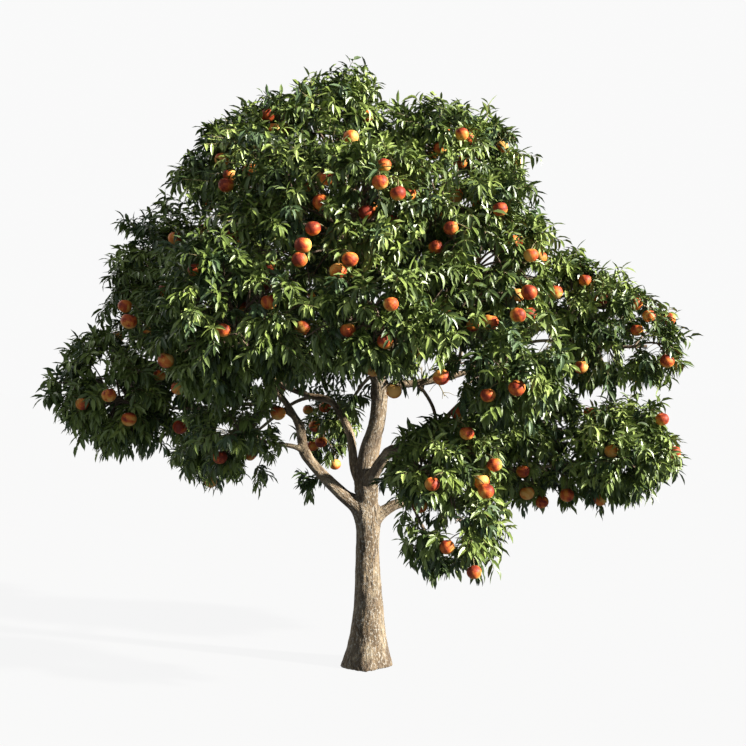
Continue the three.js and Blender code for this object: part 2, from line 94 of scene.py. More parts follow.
Bough = namedtuple("Bough", "through radii")
MAIN_BOUGHS = {
    "leader": Bough(
        [(-0.008, 0, 0.84), (-0.006, 0, 0.98), (0.012, 0.004, 1.064), (0.044, 0.008, 1.16),
         (0.059, 0.01, 1.27), (0.058, 0.01, 1.38), (0.042, 0.012, 1.56)],
        (0.046, 0.036)),
    "left_bough": Bough(
        [(0, 0, 0.69), (-0.045, -0.006, 0.764), (-0.119, -0.015, 0.828), (-0.235, -0.03, 0.946),
         (-0.3, -0.04, 1.035), (-0.324, -0.048, 1.18)],
        (0.043, 0.018)),
    "middle_left_bough": Bough(
        [(-0.006, 0.01, 0.85), (-0.055, 0.03, 0.93), (-0.076, 0.09, 1.06), (-0.09, 0.12, 1.13),
         (-0.18, 0.185, 1.272), (-0.298, 0.24, 1.305)],
        (0.027, 0.014)),
    "front_right_bough": Bough(
        [(0.004, 0, 0.85), (0.026, -0.052, 0.918), (0.093, -0.15, 1.034), (0.135, -0.25, 1.064),
         (0.18, -0.33, 1.04), (0.21, -0.4, 1.01)],
        (0.035, 0.015)),
    "right_low_bough": Bough(
        [(0.006, 0, 0.64), (0.04, 0, 0.706), (0.12, 0, 0.77), (0.18, 0, 0.792),
         (0.32, 0.03, 0.84), (0.48, 0.09, 0.905)],
        (0.034, 0.015)),
    "right_upper_bough": Bough(
        [(0.058, 0.01, 1.325), (0.103, 0.01, 1.35), (0.28, 0, 1.376), (0.4, -0.005, 1.4),
         (0.64, 0, 1.49), (0.85, 0, 1.64)],
        (0.021, 0.01)),
    "back_bough": Bough(
        [(0, 0, 0.88), (0.02, 0.06, 0.96), (0.052, 0.19, 1.11), (0.07, 0.36, 1.29),
         (0.05, 0.56, 1.45), (0, 0.72, 1.58)],
        (0.03, 0.012)),
    "front_fork_bough": Bough(
        [(0.158, -0.29, 1.052), (0.22, -0.33, 1.085), (0.29, -0.35, 1.135), (0.33, -0.35, 1.18)],
        (0.015, 0.012)),
}

Mass = namedtuple("Mass", "heart half bearer share dense", defaults=[True])
MASSES = {
    "top_centre": Mass((-0.165, 0.05, 2.48), (0.31, 0.46, 0.53), "leader", 0.99),
    "top_left": Mass((-0.51, -0.09, 2.38), (0.43, 0.48, 0.38), "leader", 0.93),
    "top_right": Mass((0.395, 0, 2.375), (0.5, 0.49, 0.455), "leader", 0.9),
    "top_back": Mass((-0.05, 0.6, 2.29), (0.57, 0.46, 0.43), "leader", 0.86),
    "upper_front": Mass((-0.13, -0.6, 2.09), (0.55, 0.41, 0.43), "leader", 0.95),
    "right_upper": Mass((1.1, 0.12, 1.69), (0.4, 0.42, 0.37), "right_upper_bough", 1),
    "upper_right": Mass((0.5, -0.45, 1.93), (0.41, 0.41, 0.43), "right_upper_bough", 0.42),
    "right_tip": Mass((1.36, -0.02, 1.55), (0.23, 0.32, 0.23), "right_upper_bough", 0.8, False),
    "left_far": Mass((-1.22, -0.09, 1.29), (0.4, 0.46, 0.37), "left_bough", 0.99),
    "left_upper": Mass((-0.89, 0, 1.845), (0.47, 0.48, 0.455), "left_bough", 0.94),
    "left_front": Mass((-0.57, -0.63, 1.63), (0.49, 0.41, 0.43), "left_bough", 0.86),
    "left_low": Mass((-0.61, -0.29, 1.15), (0.235, 0.36, 0.3), "left_bough", 0.74, False),
    "left_back": Mass((-0.7, 0.68, 1.68), (0.55, 0.48, 0.52), "middle_left_bough", 1),
    "left_low_back": Mass((-0.81, 0.67, 1), (0.32, 0.34, 0.26), "middle_left_bough", 0.85),
    "right_low": Mass((0.34, -0.54, 1), (0.34, 0.34, 0.28), "front_right_bough", 1),
    "right_hanging": Mass((0.47, -0.67, 0.72), (0.17, 0.25, 0.22), "front_right_bough", 0.6, False),
    "front_centre": Mass((0.05, -0.76, 1.64), (0.39, 0.36, 0.27), "front_fork_bough", 0.9),
    "right_front": Mass((0.61, -0.69, 1.44), (0.3, 0.33, 0.29), "front_fork_bough", 1),
    "right_middle": Mass((0.79, 0.29, 1.03), (0.44, 0.4, 0.4), "right_low_bough", 1),
    "right_far": Mass((1.28, 0.16, 1.02), (0.4, 0.46, 0.3), "right_low_bough", 0.7),
    "back_right": Mass((0.62, 0.7, 1.88), (0.45, 0.48, 0.43), "leader", 0.8),
    "back_centre": Mass((-0.05, 0.95, 1.77), (0.5, 0.42, 0.47), "back_bough", 1),
    "back_low": Mass((-0.24, 1.05, 1.09), (0.21, 0.25, 0.28), "back_bough", 0.7, False),
    "right_hanging_side": Mass((0.265, -0.64, 0.71), (0.12, 0.2, 0.19), "front_right_bough", 0.5, False),
}

# ---- What the scene carries further

LIMB_STEPS = 48  # places along a limb
LIMB_SIDES = 28
MAIN_PATH_PLACES = 240  # on a limb's curve, before they are spaced evenly
SIDE_PATH_PLACES = 200
BEARER_PLACES = 21  # where a twig may leave its bearer
CLEARANCE = 0.006  # least distance from a leaf or twig to a limb or a peach
NEAR_MASS = 1.3  # limbs and peaches further off, in a mass's measure, can't touch it
NEAR_SPRAY = 0.3  # and those further off than this, in metres, can't touch the end of a spray

# The orders of twigs: how many for each square metre of the ellipsoid, where they end in its
# measure, their first and last radius, the sides and steps of their tubes, the share of them that
# are longer, and the number of their skin.
Order = namedtuple("Order", "density reach radii facets long_share skin")
ORDERS = [
    Order(11, (0.25, 0.38), (0.006, 0.0045), (5, 5), 0, 0),
    Order(44, (0.4, 0.62), (0.0042, 0.0026), (4, 4), 0, 0),
    Order(340, (0.48, 0.74), (0.0022, 0.0011), (3, 2), 0.07, 1),
]
STEM_FACETS = (8, 12)
STALK_FACETS = (5, 5)
SPRAY_FACETS = (5, 6)
OWN_MARGIN = 0.02  # a twig that ends further outside its reach than this isn't its mass's own
CLEAR_SHARES = (0.5, 0.75, 1.0)  # where a twig has to be clear of the limbs
LONG_SHOOT = 0.13  # how much further those reach
FAR_SPREAD = 1.5  # twigs are as close where a mass reaches this much further, and sparser inside
TWIG_RISE = 0.03  # how much further twigs reach upwards, and less far downwards, where leaves hang

SURFACE_POWER = 1.6  # of Thomsen's formula for the surface of an ellipsoid
AIRY_SHARE = 0.5  # how many twigs a mass that isn't dense has, over those of a dense one
LEAVES_OF_A_SHOOT = 16
LEAF_SHARES = (0.18, 1.0)  # the part of a shoot that bears leaves
LEAF_LENGTH = (0.046, 0.078)
LEAF_SLENDERNESS = 0.14  # half a blade's width, as a share of its length
LEAF_STATIONS = (0.3, 0.64)  # where a blade's outline is given, as shares of its length
LEAF_OUTLINE = (0.95, 0.85)  # its half-width there
LEAF_MIDDLE = 0.47  # where its rib bends
LEAF_FOLD = 0.34  # how far the edges stand up from the rib, over the half-width
LEAF_BEND = (0.25, 1.1)  # radians that a blade turns down from root to tip
LEAF_ROLL = 0.75
LEAF_ONWARDS = 0.55  # what a leaf's first direction is mixed from
LEAF_ASIDE = 0.75
LEAF_DOWN = 0.26
LEAF_INWARD = 0.3  # how much the way a blade bends to leans inwards from straight down

# Loose sprays that stand out of the masses: the mass that each is counted to, the limb that bears
# it, how far along that limb it leaves, and where its twig ends.
Spray = namedtuple("Spray", "limb share end")
SPRAYS = {
    "left_low": [
        Spray("left_bough", 0.5, (-0.29, 0.05, 0.87)),
        Spray("left_low_bough", 0.95, (-0.53, -0.15, 0.93)),
    ],
    "left_far": [Spray("left_far_bough", 0.98, (-1.1, -0.1, 1.08))],
    "front_centre": [
        Spray("leader", 0.78, (-0.085, 0.04, 1.23)),
        Spray("right_upper_bough", 0.12, (0.16, 0.08, 1.43)),
        Spray("right_upper_bough", 0.25, (0.27, 0.05, 1.45)),
    ],
    "right_low": [Spray("front_right_bough", 0.5, (0.09, -0.23, 0.91))],
    "right_hanging": [Spray("right_hanging_bough", 0.5, (0.33, -0.6, 0.79))],
    "right_front": [Spray("right_upper_bough", 0.32, (0.37, -0.12, 1.31))],
}
SPRAY_SHOOTS = 5
SPRAY_SHARES = (0.4, 1.0)  # the part of a spray's twig that bears shoots
SPRAY_REACH = (0.04, 0.09)  # how far its shoots end from the twig
SPRAY_DOWN = 0.5
SPRAY_RADII = (0.0036, 0.002)

PEACH_RADIUS = 0.035
PEACH_SIZES = (0.86, 1.04)
PEACH_COUNT = 190
PEACH_HEIGHT = 0.94  # height over width
PEACH_ROWS = 12
PEACH_COLUMNS = 20
PLAIN_DEPTH = 0.71  # where the middle of a peach that shows lies, in the crown's measure
HIDDEN_DEPTH = 0.51  # and of one that is half hidden
SPREAD_DEPTHS = (0.4, 0.66)  # and of one that is spread over the crown
SPREAD_STRETCH = (0.6, 1.0)  # where those are tried, in their mass's measure
OPEN_DEPTH = 0.9  # a line of sight that stays further out has no peach
SIGHT_DEPTHS = np.arange(3.6, 7.2, 0.01)  # where the crown is looked for along a line of sight
PEACH_ROOM = 1.1  # least distance of its middle from a limb's surface, over its radius
PEACH_APART = 2.05  # and between the middles of two peaches
PEACH_TWIG_RADII = (0.0028, 0.0022)
STALK_END = 0.6  # where a stalk ends above a peach's middle, over its radius
PEACH_TILT = 0.44  # the most that a peach leans, in radians
Dent = namedtuple("Dent", "depth width")  # over the radius, and half of it in radians
GROOVE = Dent(0.07, 0.25)
HOLLOW = Dent(0.22, 0.42)  # at the stalk
BLUSH = 0.45  # how red a peach is, from 0 to 1
BLUSH_SPREAD = (-0.14, 0.16)  # between one peach and another
BLUSH_TURN = 0.42  # how much redder it is on its sunny side
BLUSH_MOTTLE = 0.5  # how uneven it is, and the waves that this is summed from
BLUSH_WAVES = 6
BLUSH_WAVE_SIZE = 4
SUNNY_OUT = 0.8  # how much the sunny side is the outer side, and the upper
SUNNY_UP = 0.5

# ---- Camera, and the peaches that show from it

PICTURE_SIDE = 746  # pixels
PICTURE_MIDDLE = PICTURE_SIDE / 2
FOCAL_LENGTH = 1066  # in pixels
CAMERA_PLACE = np.array([0.029, -5.2, 1.42])
SENSOR_WIDTH = 36.0

PLAIN_PEACHES = [
    (351, 137), (384, 165), (380, 182), (393, 183), (398, 193), (226, 185), (175, 238), (313, 228),
    (303, 245), (350, 259), (125, 306), (129, 321), (391, 304), (178, 388), (109, 395), (129, 419),
    (180, 427), (462, 134), (500, 209), (451, 228), (531, 255), (529, 292), (518, 315), (581, 367),
    (517, 388), (488, 395), (467, 433), (432, 484), (486, 491), (527, 493), (567, 495), (474, 572),
    (447, 547), (662, 419), (441, 377), (454, 368),
]
HALF_HIDDEN_PEACHES = [
    (338, 271), (269, 302), (348, 330), (220, 457), (445, 134), (440, 148), (512, 241), (601, 299),
    (612, 303), (636, 304), (649, 316), (669, 319), (637, 330), (667, 361), (495, 476), (420, 506),
    (394, 391), (600, 500), (373, 370), (325, 407), (308, 410), (332, 412), (315, 426), (321, 442),
    (312, 446), (335, 464), (349, 467), (282, 386), (278, 413), (268, 115), (328, 275), (366, 212),
    (195, 270), (490, 322), (150, 330), (321, 202),
]

# Where the sky shows through the crown: a pixel, and how far round it no twig ends and no leaf has
# its middle.
SKY_GAPS = np.array([
    (440, 396, 20), (426, 366, 8), (460, 377, 7), (541, 341, 13), (654, 347, 10), (608, 357, 8),
    (434, 512, 7), (552, 495, 8), (224, 429, 9), (488, 258, 9), (99, 369, 8), (531, 274, 8),
    (257, 382, 7), (264, 424, 7), (253, 462, 10),
])


# ---- Curves

UP = np.array([0.0, 0.0, 1.0])
TINY = 1e-12  # the least length that a vector is divided by


def unit(vectors):
    """The same directions with length 1."""
    return vectors / np.maximum(np.linalg.norm(vectors, axis=-1, keepdims=True), TINY)


def length_of(vectors):
    """The length of each vector."""
    return np.linalg.norm(vectors, axis=-1)


def mix(first, second, share):
    """The value between two others."""
    return first + (second - first) * share


def bezier(controls, shares):
    """Places on Bezier curves: controls (..., points, 3) and shares (k,) give (..., k, 3)."""
    level = [controls[..., i, None, :] for i in range(controls.shape[-2])]
    shares = np.asarray(shares)[:, None]
    while len(level) > 1:
        level = [mix(a, b, shares) for a, b in zip(level, level[1:])]
    return level[0]


def round_angles(count):
    """Angles spread evenly round a circle."""
    return np.arange(count) * 2 * math.pi / count


def spline(points):
    """Places on a centripetal Catmull-Rom curve through points."""
    points = np.array(points, float)
    padded = np.vstack([2 * points[0] - points[1], points, 2 * points[-1] - points[-2]])
    spans = len(points) - 1
    places = []
    for t in np.linspace(0, spans, MAIN_PATH_PLACES):
        i = min(int(t), spans - 1)
        a, b, c, d = padded[i:i + 4]
        before, here, after = (math.sqrt(length_of(q - p)) for p, q in ((a, b), (b, c), (c, d)))
        leaving = ((b - a) / before - (c - a) / (before + here) + (c - b) / here) * here
        arriving = ((c - b) / here - (d - b) / (here + after) + (d - c) / after) * here
        w = t - i
        places.append(
            b + leaving * w + (3 * (c - b) - 2 * leaving - arriving) * w**2
            + (2 * (b - c) + leaving + arriving) * w**3
        )
    return np.array(places)


def path_at(wanted, run, places):
    """Where a path is at wanted positions. run gives the position of each of its own places."""
    return np.stack([np.interp(wanted, run, places[:, axis]) for axis in range(3)], axis=-1)


def spaced(places, count):
    """The same path as count places at equal distances."""
    run = np.concatenate([[0], np.cumsum(length_of(np.diff(places, axis=0)))])
    return path_at(np.linspace(0, run[-1], count), run, places)


# ---- Limbs


class Limb:
    """A limb: places at equal distances along it, its directions there and its radii."""

    def __init__(self, path, radius_at):
        self.places = spaced(path, LIMB_STEPS)
        self.tangents = unit(np.gradient(self.places, axis=0))
        self.shares = np.linspace(0, 1, LIMB_STEPS)
        self.radius_at = radius_at
        self.radii = radius_at(self.shares, 0.0)
        self.length = length_of(np.diff(self.places, axis=0)).sum()
        self.normals, self.binormals = self.frames()

    def frames(self):
        """Two directions across the limb at each place, which don't turn about it."""
        first = self.tangents[0]
        least = 2 - np.argmin(np.abs(first[::-1]))
        normal = np.cross(first, np.cross(first, np.eye(3)[least]))
        normals = []
        for tangent in self.tangents:
            normal = unit(normal - tangent * (normal @ tangent))
            normals.append(normal)
        return np.array(normals), np.cross(self.tangents, normals)

    def at(self, share):
        """Place, direction and radius at a share of the length."""
        place = path_at(share, self.shares, self.places)
        tangent = path_at(share, self.shares, self.tangents)
        return place, unit(tangent), float(np.interp(share, self.shares, self.radii))


def taper(first, last):
    """The radius of a limb that thins from first to last."""
    return lambda share, angle: mix(first, last, share**TAPER_BEND)


def trunk_radius(share, angle):
    """The trunk's radius, with its flare and the swellings of its main roots."""
    height = share * TRUNK_HEIGHT
    plain = TRUNK_TOP_RADIUS + TRUNK_TAPER * (1 - share) + FLARE_RADIUS * np.exp(-height / FLARE_FALL)
    alike, unequal = ROOT_LOBE_MIX
    slower = np.cos(UNEQUAL_LOBES * angle + UNEQUAL_TURN)
    lobes = np.cos(ROOT_LOBES * angle) * alike + slower * unequal
    return plain * (1 + ROOT_LOBE_DEPTH * lobes * np.exp(-height / ROOT_LOBE_FALL))


def make_side_bough(bearer, mass):
    """A bough that leaves its bearer, rises and ends at the edge of a mass."""
    heart, half = np.array(mass.heart), np.array(mass.half)
    start, onwards, radius = bearer.at(mass.share)
    tip = heart + unit((start - heart) / half) * half * SIDE_BOUGH_ENTRY
    length = length_of(tip - start)
    leaving = onwards * SIDE_BOUGH_ONWARDS + UP * SIDE_BOUGH_UP + unit(tip - start) * SIDE_BOUGH_STRAIGHT
    first, last = (length * share for share in SIDE_BOUGH_HANDLES)
    controls = [start, start + unit(leaving) * first, tip - unit(heart - tip) * last, tip]
    foot = max(SIDE_BOUGH_TIP_RADIUS, radius * SIDE_BOUGH_SHARE)
    path = bezier(np.array(controls), np.linspace(0, 1, SIDE_PATH_PLACES))
    return Limb(path, taper(foot, SIDE_BOUGH_TIP_RADIUS))


def make_limbs():
    """All limbs by name, and the name of the bough that feeds each mass."""
    limbs = {"trunk": Limb(spline(TRUNK_THROUGH), trunk_radius)}
    for name, plan in MAIN_BOUGHS.items():
        limbs[name] = Limb(spline(plan.through), taper(*plan.radii))
    feeders = {}
    for name, mass in MASSES.items():
        feeders[name] = mass.bearer
        if mass.share < 1:
            feeders[name] = name + "_bough"
            limbs[name + "_bough"] = make_side_bough(limbs[mass.bearer], mass)
    return limbs, feeders


# ---- Spaces

GOLDEN_ANGLE = math.pi * (3 - math.sqrt(5))
NAMES = list(MASSES)
HEARTS = np.array([mass.heart for mass in MASSES.values()], float)
HALVES = np.array([mass.half for mass in MASSES.values()], float)


def measures(places):
    """Distances of places from every mass's heart, each in that mass's own measure."""
    return length_of((places[..., None, :] - HEARTS) / HALVES)


def crown_measure(places):
    """Distances from the crown's inside: the masses' measures blended into one, and uneven."""
    blended = -np.log(np.exp(-CROWN_BLEND * measures(places)).sum(axis=-1)) / CROWN_BLEND
    k = np.arange(CROWN_WAVES)
    waves = np.sin(2 * math.pi * places @ (WAVE_WAYS / WAVE_LENGTHS).T + k * k).sum(axis=-1)
    return blended + CROWN_UNEVEN * waves / math.sqrt(CROWN_WAVES)


def reached(index, ways, reach):
    """Places on ways from a mass's heart, at a reach in the crown's measure."""
    stretch = reach
    for _ in range(REACH_STEPS):
        places = HEARTS[index] + ways * HALVES[index] * stretch[:, None]
        stretch = np.clip(stretch + reach - crown_measure(places), LEAST_STRETCH, MOST_STRETCH)
    return HEARTS[index] + ways * HALVES[index] * stretch[:, None]


def even_ways(count, turn=0.0):
    """Directions spread evenly over a sphere."""
    k = np.arange(count)
    height = 1 - (2 * k + 1) / count
    angle = k * GOLDEN_ANGLE + turn
    across = np.sqrt(1 - height**2)
    return np.stack([across * np.cos(angle), across * np.sin(angle), height], axis=1)


WAVE_WAYS = even_ways(CROWN_WAVES)
WAVE_LENGTHS = np.linspace(*CROWN_WAVE_LENGTHS, CROWN_WAVES)[:, None]


def in_sky_gap(places):
    """Whether places lie in a gap that the camera sees the sky through."""
    away = places - CAMERA_PLACE
    across = PICTURE_MIDDLE + FOCAL_LENGTH * away[..., 0] / away[..., 1]
    down = PICTURE_MIDDLE - FOCAL_LENGTH * away[..., 2] / away[..., 1]
    far = np.hypot(across[..., None] - SKY_GAPS[:, 0], down[..., None] - SKY_GAPS[:, 1])
    return (far < SKY_GAPS[:, 2]).any(axis=-1)


class Obstacles:
    """Places with radii, which leaves and twigs stay clear of."""

    def __init__(self, places, radii):
        self.places = places
        self.radii = radii

    def near(self, index):
        """Those that can touch a mass or its sprays."""
        within = length_of((self.places - HEARTS[index]) / HALVES[index]) < NEAR_MASS
        for spray in SPRAYS.get(NAMES[index], []):
            within |= length_of(self.places - spray.end) < NEAR_SPRAY
        return Obstacles(self.places[within], self.radii[within])

    def miss(self, places):
        """Whether places are clear of all of them."""
        far = length_of(places[..., None, :] - self.places)
        return (far > self.radii).all(axis=-1)

    def miss_twigs(self, controls):
        """Whether twigs are clear of all of them, away from their own bearers."""
        return self.miss(bezier(controls, CLEAR_SHARES)).all(axis=1)


def limb_spheres(limbs):
    """Places along all limbs, and the limbs' radii there."""
    places = np.concatenate([limb.places for limb in limbs.values()])
    return places, np.concatenate([limb.radii for limb in limbs.values()])


def all_obstacles(limbs, peaches):
    """The limbs and the peaches as obstacles."""
    places, radii = limb_spheres(limbs)
    radii = np.concatenate([radii, np.full(len(peaches), PEACH_RADIUS)])
    return Obstacles(np.concatenate([places, peaches]), radii + CLEARANCE)


# ---- Twigs


def arches(starts, ends):
    """Curve controls of twigs, which arch upwards."""
    rise = TWIG_ARCH * length_of(ends - starts)[..., None] * UP
    return np.stack([starts, (starts + ends) / 2 + rise, ends], axis=-2)


def twig_controls(bearers, ends, random):
    """Arching twigs from the nearest bearer, each starting set back towards that bearer's foot."""
    shares = np.linspace(0, 1, BEARER_PLACES)
    places = bezier(bearers, shares)
    lengths = length_of(np.diff(places, axis=1)).sum(axis=1)
    far = length_of(ends[:, None, None] - places).reshape(len(ends), -1)
    bearer, step = np.divmod(far.argmin(axis=1), len(shares))
    back = random.uniform(*TWIG_SET_BACK, len(ends)) * far.min(axis=1)
    share = np.maximum(TWIG_FIRST, shares[step] - back / lengths[bearer])
    starts = np.empty_like(ends)
    for i, (b, s) in enumerate(zip(bearer, share)):
        starts[i] = bezier(bearers[b], [s])[0]
    return arches(starts, ends)


def surface_of(half):
    """Roughly the surface of an ellipsoid."""
    a, b, c = half
    products = np.array([a * b, a * c, b * c])
    return 4 * math.pi * (products**SURFACE_POWER).mean() ** (1 / SURFACE_POWER)


def grow_twigs(index, stem, obstacles):
    """The three orders of twigs of a mass, each as curve controls (n, 3, 3)."""
    random = np.random.default_rng(SEED + index)
    fullness = 1 if MASSES[NAMES[index]].dense else AIRY_SHARE
    bearers = stem[None]
    orders = []
    for order in ORDERS:
        count = round(order.density * surface_of(HALVES[index]) * fullness)
        ways = even_ways(count, index + random.uniform(-TWIG_SPREAD, TWIG_SPREAD, count))
        further = LONG_SHOOT * (random.random(count) < order.long_share)
        reach = random.uniform(*order.reach, count) + further + TWIG_RISE * ways[:, 2]
        ends = reached(index, ways, reach)
        far = measures(ends)
        owned = (far.argmin(axis=-1) == index) & (crown_measure(ends) < reach + OWN_MARGIN)
        even = random.random(count) < (far[:, index] / (reach * FAR_SPREAD)) ** 2
        ends = ends[owned & even]
        controls = twig_controls(bearers, ends, random)
        controls = controls[obstacles.miss_twigs(controls) & ~in_sky_gap(ends)]
        orders.append(controls)
        bearers = np.concatenate([bearers, controls])
    return orders


def grow_sprays(name, limbs, obstacles, random):
    """The loose sprays of a mass: their twigs and their shoots, as curve controls."""
    twigs, shoots = [], []
    for spray in SPRAYS.get(name, []):
        start, end = limbs[spray.limb].at(spray.share)[0], np.array(spray.end)
        twig = arches(start, end)
        spots = bezier(twig, np.linspace(*SPRAY_SHARES, SPRAY_SHOOTS))
        ways = unit(random.normal(size=spots.shape) - UP * SPRAY_DOWN)
        ends = spots + ways * random.uniform(*SPRAY_REACH, (SPRAY_SHOOTS, 1))
        controls = twig_controls(twig[None], ends, random)
        twigs.append(twig)
        shoots.append(controls[obstacles.miss_twigs(controls)])
    return twigs, shoots


def make_stem(index, feeder):
    """The stem of a mass, from just off its bough's tip to its heart."""
    tip, ahead, _ = feeder.at(1.0)
    foot = tip + ahead * GAP
    bend = foot + ahead * length_of(foot - HEARTS[index]) / 2
    return np.array([foot, bend, HEARTS[index]])


def repeated(triangles, count, corners_of_one):
    """The triangles of count equal shapes, each with its own corners."""
    offsets = np.arange(count) * corners_of_one
    return (triangles[None] + offsets[:, None, None]).reshape(-1, 3)


def ring_faces(sides, rows):
    """The triangles of a skin of rings, which run round and onwards, row by row."""
    ring = np.arange(sides)
    after = (ring + 1) % sides
    one = np.stack([ring, after, after + sides, ring, after + sides, ring + sides], axis=1)
    return (one.reshape(-1, 3) + np.arange(rows)[:, None, None] * sides).reshape(-1, 3)


def fan(apex, sides, row):
    """The triangles from one corner to a ring."""
    ring = np.arange(sides)
    after = (ring + 1) % sides
    return np.stack([np.full(sides, apex), ring + row * sides, after + row * sides], axis=1)


def rims(across, beyond, sides):
    """Directions round each place of a curve, from two that lie across it."""
    angles = round_angles(sides)[:, None]
    return across[..., None, :] * np.cos(angles) + beyond[..., None, :] * np.sin(angles)


def tubes(controls, radii, facets, skin):
    """Tapering tubes along curves, as (places, triangles, skin). facets are their sides and steps."""
    sides, steps = facets
    shares = np.linspace(0, 1, steps + 1)
    centres = bezier(controls, shares)
    tangents = unit(np.gradient(centres, axis=1))
    least = np.abs(tangents.mean(axis=1)).argmin(axis=1)
    across = unit(np.cross(tangents, np.eye(3)[least][:, None]))
    widths = mix(*radii, shares)[:, None, None]
    places = centres[:, :, None] + rims(across, np.cross(tangents, across), sides) * widths
    triangles = repeated(ring_faces(sides, steps), len(controls), sides * (steps + 1))
    return places.reshape(-1, 3), triangles, skin


def joined(parts):
    """Several (places, triangles, steps) as one."""
    places, triangles, steps = zip(*parts)
    earlier = np.cumsum([0] + [len(part) for part in places])
    triangles = [part + count for part, count in zip(triangles, earlier)]
    steps = [np.broadcast_to(step, len(part)) for step, part in zip(steps, triangles)]
    return np.concatenate(places), np.concatenate(triangles), np.concatenate(steps)


# ---- Leaves


# The faces of half a blade: its rib's root, middle and tip, then the two corners of its edge.
HALF_BLADE = np.array([(0, 1, 3), (1, 4, 3), (1, 2, 4)])
HALF_CORNERS = 5


def leaf_curves(shoots, index, random):
    """Where leaves stand on shoots: their roots, first directions and the way they bend to."""
    shares = np.linspace(*LEAF_SHARES, LEAVES_OF_A_SHOOT)
    roots = bezier(shoots, shares)
    onwards = unit(np.gradient(roots, axis=1))
    beside = unit(np.cross(onwards, UP))
    above = np.cross(beside, onwards)
    start = random.uniform(0, 2 * math.pi, (len(shoots), 1))
    angle = (np.arange(LEAVES_OF_A_SHOOT) * GOLDEN_ANGLE + start)[..., None]
    aside = beside * np.cos(angle) + above * np.sin(angle)
    first = unit(onwards * LEAF_ONWARDS + aside * LEAF_ASIDE - UP * LEAF_DOWN)
    outward = unit((roots - HEARTS[index]) / HALVES[index])
    falling = -UP - outward * LEAF_INWARD
    falling = unit(falling - first * (falling * first).sum(-1, keepdims=True))
    return roots, first, falling


def grow_leaves(index, shoots, obstacles):
    """The leaves of a mass, as (places, triangles, number of the shoot of each triangle)."""
    random = np.random.default_rng(LEAF_SEED + index)
    roots, first, falling = (part.reshape(-1, 1, 3) for part in leaf_curves(shoots, index, random))
    ranges = (LEAF_LENGTH, LEAF_BEND, (-LEAF_ROLL, LEAF_ROLL))
    length, bend, roll = (random.uniform(*span, (len(roots), 1, 1)) for span in ranges)
    turned = bend * np.array([0.0, LEAF_MIDDLE, 1.0, *LEAF_STATIONS])[:, None]
    forward = np.sin(turned) / bend * first
    drooped = (1 - np.cos(turned)) / bend * falling
    middles = roots + (forward + drooped) * length
    lifted = np.sin(turned) * first - np.cos(turned) * falling
    side = np.cross(first, falling)
    across = side * np.cos(roll) + lifted * np.sin(roll)
    upper = lifted * np.cos(roll) - side * np.sin(roll)
    kept = obstacles.miss(middles[:, 1:3]).all(axis=1) & ~in_sky_gap(middles[:, 1])
    width = length * LEAF_SLENDERNESS * np.array(LEAF_OUTLINE)[:, None]
    halves = []
    for hand in (1, -1):
        edge = middles[:, 3:] + across[:, 3:] * width * hand + upper[:, 3:] * width * LEAF_FOLD
        halves.append(np.concatenate([middles[:, :3], edge], axis=1)[kept])
    blades = np.concatenate(halves, axis=1).reshape(-1, 3)
    one = np.concatenate([HALF_BLADE, HALF_BLADE[:, ::-1] + HALF_CORNERS])
    triangles = repeated(one, kept.sum(), 2 * HALF_CORNERS)
    shoot = np.repeat(np.arange(len(shoots)), LEAVES_OF_A_SHOOT)[kept]
    return blades, triangles, np.repeat(shoot, len(one))


# ---- Peaches


def sighted_peach(u, v, depth):
    """The middle of a peach that shows at a pixel, where the line of sight is that deep in the crown."""
    sight = np.array([(u - PICTURE_MIDDLE) / FOCAL_LENGTH, 1, (PICTURE_MIDDLE - v) / FOCAL_LENGTH])
    places = CAMERA_PLACE + SIGHT_DEPTHS[:, None] * sight
    nearest = crown_measure(places)
    inside = np.flatnonzero(nearest <= depth)
    if len(inside):
        return places[inside[0]]
    return places[nearest.argmin()] if nearest.min() < OPEN_DEPTH else None


def place_peaches(limbs):
    """The middles of all peaches: first those that show, then others spread over the crown."""
    limb_places, limb_radii = limb_spheres(limbs)
    placed = []

    def fits(place):
        off_limbs = length_of(limb_places - place) - limb_radii
        if off_limbs.min() < PEACH_ROOM * PEACH_RADIUS:
            return False
        return all(length_of(place - other) > PEACH_APART * PEACH_RADIUS for other in placed)

    for sights, depth in ((PLAIN_PEACHES, PLAIN_DEPTH), (HALF_HIDDEN_PEACHES, HIDDEN_DEPTH)):
        for sight in sights:
            place = sighted_peach(*sight, depth)
            if place is not None and fits(place):
                placed.append(place)
    random = np.random.default_rng(SEED)
    room = HALVES.prod(axis=1)
    deepest, nearest = SPREAD_DEPTHS
    while len(placed) < PEACH_COUNT:
        index = random.choice(len(NAMES), p=room / room.sum())
        way = unit(random.normal(size=3))
        place = HEARTS[index] + way * HALVES[index] * random.uniform(*SPREAD_STRETCH)
        seated = deepest < crown_measure(place) < nearest and measures(place).argmin() == index
        if seated and fits(place):
            placed.append(place)
    return np.array(placed)


